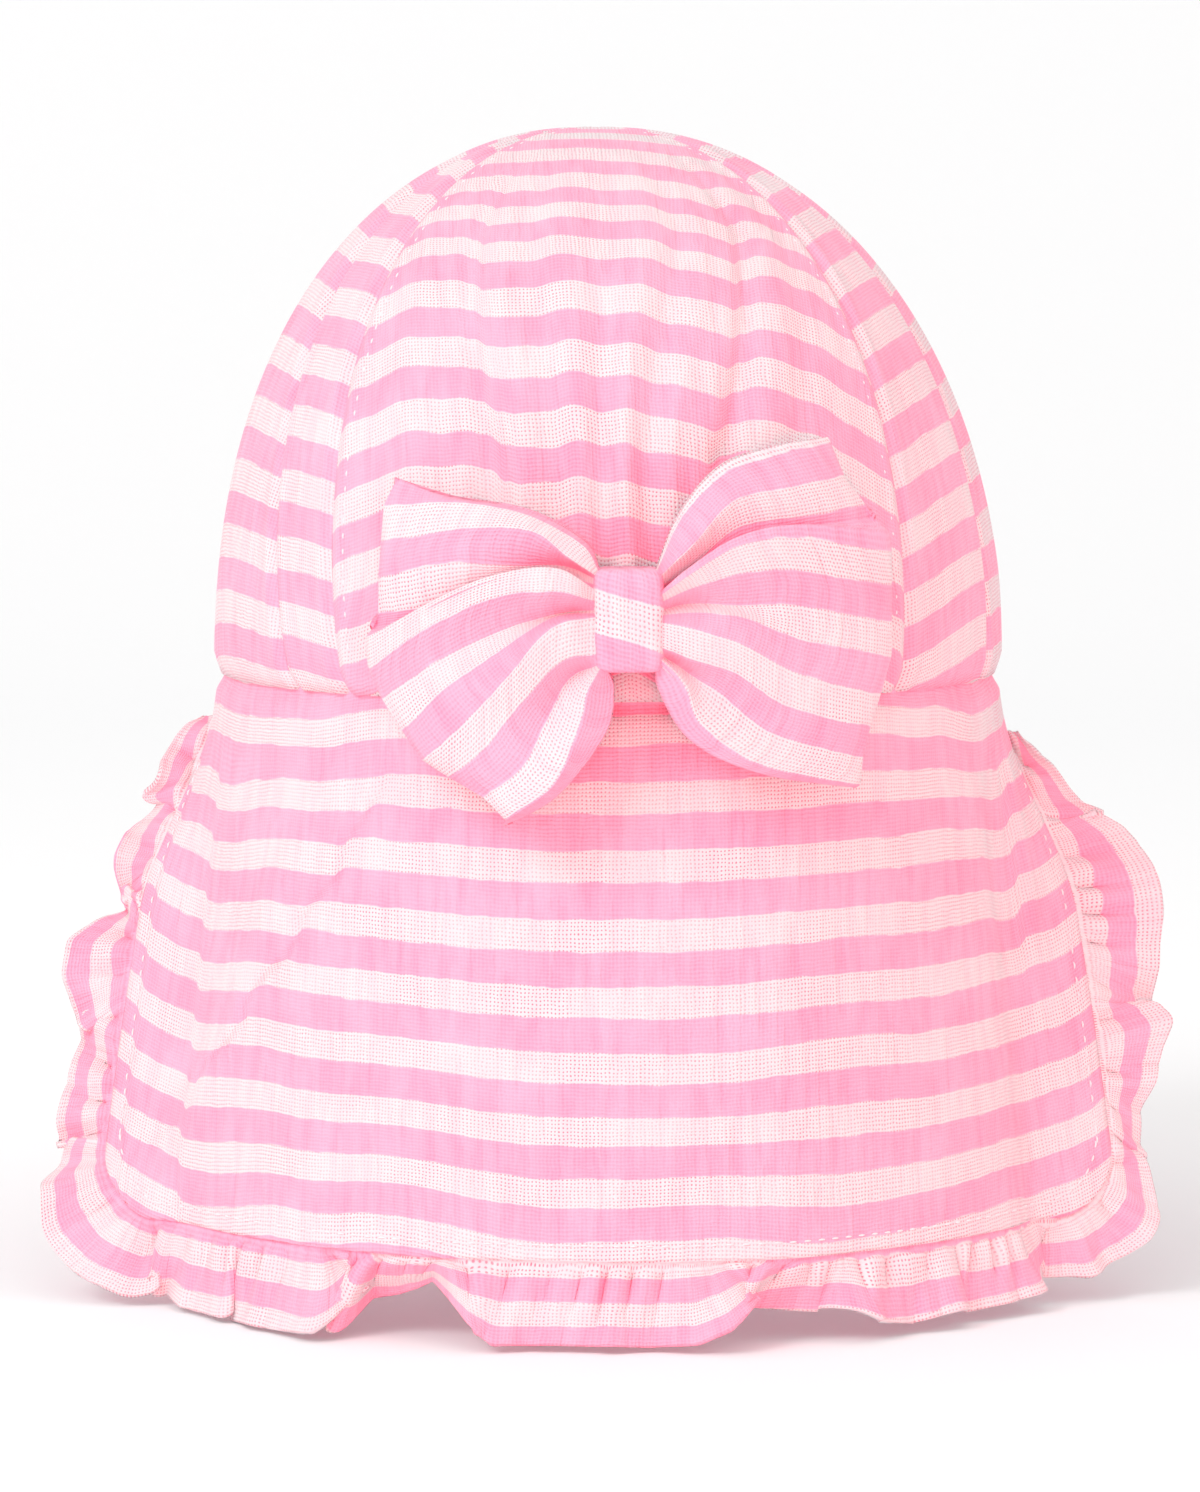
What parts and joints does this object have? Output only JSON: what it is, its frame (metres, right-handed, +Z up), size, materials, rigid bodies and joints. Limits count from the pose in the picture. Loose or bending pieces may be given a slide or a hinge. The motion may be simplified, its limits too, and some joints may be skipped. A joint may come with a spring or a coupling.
{
  "type": "toddler's neck-flap sun hat with a bow",
  "caption": "Soft striped cotton gauze sun hat: panelled crown, short peak, flap over the neck with a gathered ruffle, and a bow low on the back.",
  "frame": {"origin": "centre of the crown's opening, where the head goes in, in the plane of the crown's lower edge", "axes": "+Z up towards the top of the crown, +Y towards the peak at the front, +X to the right of the hat seen from behind"},
  "size_m": [0.2196, 0.2482, 0.2245],
  "materials": {
    "crown_gauze": "matt crinkled double gauze, woven in pink and white stripes",
    "peak_gauze": "matt crinkled double gauze, woven in pink and white stripes",
    "flap_gauze": "matt crinkled double gauze, woven in pink and white stripes",
    "ruffle_gauze": "matt crinkled double gauze, woven in pink and white stripes",
    "bow_gauze": "matt crinkled double gauze, woven in pink and white stripes"
  },
  "bodies": {
    "root": {"crown_back_panel": "crown_gauze", "crown_side_back_left": "crown_gauze", "crown_side_back_right": "crown_gauze", "crown_side_front_left": "crown_gauze", "crown_side_front_right": "crown_gauze", "crown_front_panel": "crown_gauze", "peak": "peak_gauze", "neck_flap": "flap_gauze", "flap_ruffle": "ruffle_gauze", "bow_loop_left": "bow_gauze", "bow_loop_right": "bow_gauze", "bow_knot": "bow_gauze"}
  },
  "joints": []
}
